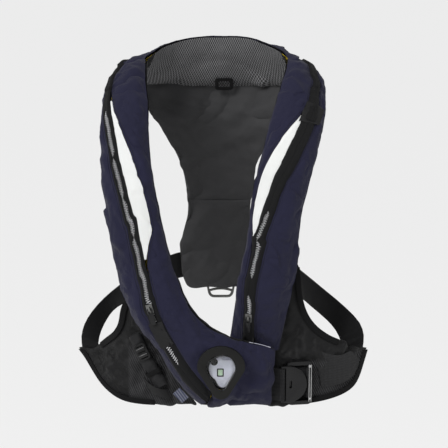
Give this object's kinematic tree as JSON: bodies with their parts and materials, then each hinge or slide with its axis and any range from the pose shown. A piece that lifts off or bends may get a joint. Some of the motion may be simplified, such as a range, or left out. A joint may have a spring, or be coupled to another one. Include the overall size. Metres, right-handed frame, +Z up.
{
  "type": "inflatable life jacket",
  "caption": "Inflatable life jacket in its worn shape: zipped horseshoe cover over a folded bladder, inspection window, back panel, waist belt with side wings, buckle and crotch-strap ring.",
  "frame": {"origin": "middle of the neck opening, level with the tops of the wearer's shoulders", "axes": "+Z up, +X to the wearer's left, +Y to the wearer's back; the front of the jacket faces -Y"},
  "size_m": [0.4209, 0.3151, 0.4986],
  "materials": {
    "navy_fabric": "woven cover cloth, matt",
    "white_fabric": "coated cloth, smooth",
    "zip_tape": "ribbed tape with metal-look teeth",
    "black_fabric": "woven lining cloth",
    "spacer_mesh": "open 3-D spacer mesh",
    "charcoal_fabric": "padded cloth",
    "webbing": "ribbed polyester webbing",
    "black_rubber": "matt rubber",
    "black_plastic": "moulded nylon",
    "pale_plastic": "moulded",
    "indicator_plastic": "moulded",
    "yellow_plastic": "moulded",
    "bladder_fabric": "coated airtight cloth, folded",
    "steel": "brushed",
    "dark_metal": "dark plated",
    "clear_lens": "clear moulded sheet",
    "tag_fabric": "woven tag"
  },
  "bodies": {
    "jacket": {"right_outer_panel": "navy_fabric", "right_zip_tape": "zip_tape", "right_white_panel": "white_fabric", "left_outer_panel": "navy_fabric", "left_zip_tape": "zip_tape", "left_white_panel": "white_fabric", "collar_lower_panel": "navy_fabric", "collar_zip_tape": "zip_tape", "collar_upper_panel": "navy_fabric", "collar_mesh": "spacer_mesh", "left_inner_panel": "navy_fabric", "left_lining": "black_fabric", "window_frame": "black_rubber", "window_lens": "clear_lens", "inflator_body": "black_plastic", "inflator_cap": "pale_plastic", "status_indicator": "indicator_plastic", "right_inner_panel": "navy_fabric", "co2_cylinder": "steel", "pull_cord": "black_fabric", "right_lining": "black_fabric", "oral_tube": "black_rubber", "whistle": "yellow_plastic", "bladder": "bladder_fabric", "right_zip_garage": "black_fabric", "left_zip_garage": "black_fabric", "back_panel": "charcoal_fabric", "back_pad": "charcoal_fabric", "waist_belt": "webbing", "right_belt_keeper": "webbing", "left_belt_keeper": "webbing", "ring_loop": "webbing", "right_wing": "black_fabric", "right_wing_binding": "webbing", "right_wing_hem": "webbing", "left_wing": "black_fabric", "left_wing_binding": "webbing", "left_wing_hem": "webbing", "left_wing_mesh": "spacer_mesh", "stowed_strap": "black_fabric", "strap_band": "webbing", "strap_pocket": "black_fabric", "woven_tag": "tag_fabric", "hanging_loop": "webbing", "buckle_frame": "black_plastic", "buckle_bar": "steel", "bar_loop": "webbing", "front_belt": "webbing"},
    "right_slider": {"right_zip_slider": "dark_metal"},
    "right_pull": {"right_zip_pull": "black_rubber"},
    "left_slider": {"left_zip_slider": "dark_metal"},
    "left_pull": {"left_zip_pull": "black_rubber"},
    "tongue": {"buckle_tongue": "black_plastic"},
    "ring": {"crotch_ring": "dark_metal"},
    "lever": {"inflator_lever": "yellow_plastic"},
    "toggle": {"pull_toggle": "yellow_plastic"},
    "mouth_cap": {"oral_cap": "yellow_plastic"},
    "clip": {"strap_clip": "black_plastic"}
  },
  "joints": [
    {"name": "right_zip_slide", "type": "slide", "parent": "jacket", "child": "right_slider", "axis": [-0.2764, 0.1066, 0.9551], "range_m": [0, 0.02]},
    {"name": "right_pull_flip", "type": "hinge", "parent": "right_slider", "child": "right_pull", "pos_m": [-0.09375, -0.1562, -0.33135], "axis": [-0.9405, 0.1742, -0.2916], "range_deg": [0, 150]},
    {"name": "left_zip_slide", "type": "slide", "parent": "jacket", "child": "left_slider", "axis": [0.0343, -0.2797, 0.9595], "range_m": [0, 0.02]},
    {"name": "left_pull_flip", "type": "hinge", "parent": "left_slider", "child": "left_pull", "pos_m": [0.04236, -0.13919, -0.35026], "axis": [-0.982, 0.1692, 0.0845], "range_deg": [0, 150]},
    {"name": "buckle_open", "type": "hinge", "parent": "jacket", "child": "tongue", "pos_m": [0.0914, -0.11707, -0.455], "axis": [0, 0, -1], "range_deg": [0, 75]},
    {"name": "ring_swing", "type": "hinge", "parent": "jacket", "child": "ring", "pos_m": [0.004, 0.1405, -0.375], "axis": [1, 0, 0], "range_deg": [-4, 85]},
    {"name": "toggle_pull", "type": "slide", "parent": "jacket", "child": "toggle", "axis": [0, 0, -1], "range_m": [0, 0.008], "deforming": ["pull_cord"]},
    {"name": "lever_turn", "type": "hinge", "parent": "jacket", "child": "lever", "pos_m": [0.017, -0.14549, -0.43669], "axis": [0, 0.9992, -0.04], "range_deg": [0, 40]},
    {"name": "mouth_cap_pull", "type": "slide", "parent": "jacket", "child": "mouth_cap", "axis": [-0.2226, -0.2077, -0.9525], "range_m": [0, 0.014]},
    {"name": "clip_lift", "type": "hinge", "parent": "jacket", "child": "clip", "pos_m": [-0.11142, -0.11249, -0.39807], "axis": [-0.9016, 0.0011, -0.4325], "range_deg": [0, 45]}
  ],
  "couplings": [
    {"joint": "toggle_pull", "follows": "lever_turn", "m_per_rad": 0.0114}
  ]
}
